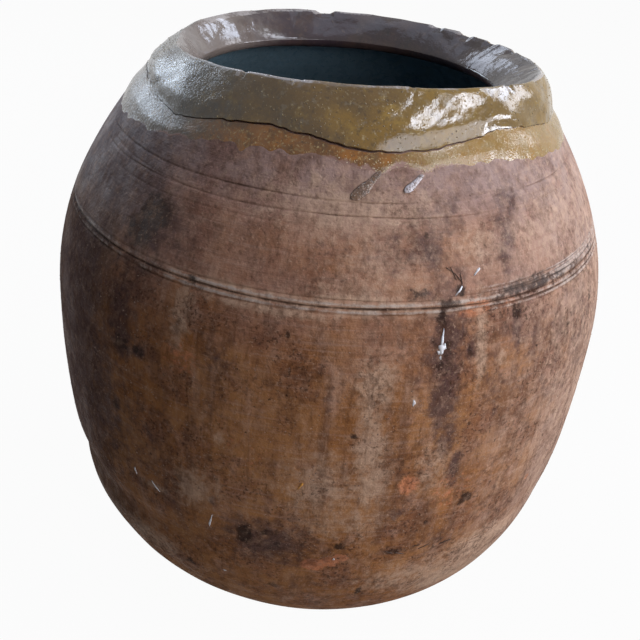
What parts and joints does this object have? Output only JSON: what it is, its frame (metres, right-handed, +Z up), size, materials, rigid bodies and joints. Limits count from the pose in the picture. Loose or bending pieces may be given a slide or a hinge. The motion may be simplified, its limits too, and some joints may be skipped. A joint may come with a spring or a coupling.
{
  "type": "terracotta olive jar",
  "caption": "Squat hand-thrown terracotta olive jar with a swelling body, flat foot, incised lines round the shoulder and a thick amber-glazed rim; holds olives, oil or water.",
  "frame": {"origin": "centre of the flat foot, on the ground", "axes": "+Z up along the axis the jar was thrown on; -Y towards the pictured front, +X to the right of it"},
  "size_m": [0.43, 0.43, 0.4321],
  "materials": {
    "clay_base": "bare fired terracotta, matt",
    "clay_lower": "bare fired terracotta, matt and stained",
    "clay_belly": "bare fired terracotta, matt and stained",
    "clay_shoulder": "bare fired terracotta, matt with a pink blush",
    "clay_rim": "fired terracotta under the glaze",
    "glaze_collar": "amber lead glaze, glossy and pitted",
    "glaze_mouth": "mauve-brown lead glaze, glossy",
    "glaze_shoulder": "thin orange-amber lead glaze with a ragged lower edge",
    "glaze_inside": "dark lining glaze",
    "glaze_drip": "thick olive-brown glaze run"
  },
  "bodies": {
    "root": {"base_disc": "clay_base", "lower_wall": "clay_lower", "belly_wall": "clay_belly", "shoulder_wall": "clay_shoulder", "rim_collar": "clay_rim", "collar_glaze": "glaze_collar", "mouth_glaze": "glaze_mouth", "shoulder_glaze": "glaze_shoulder", "inside_glaze": "glaze_inside", "glaze_drip_left": "glaze_drip", "glaze_drip_right": "glaze_drip"}
  },
  "joints": []
}
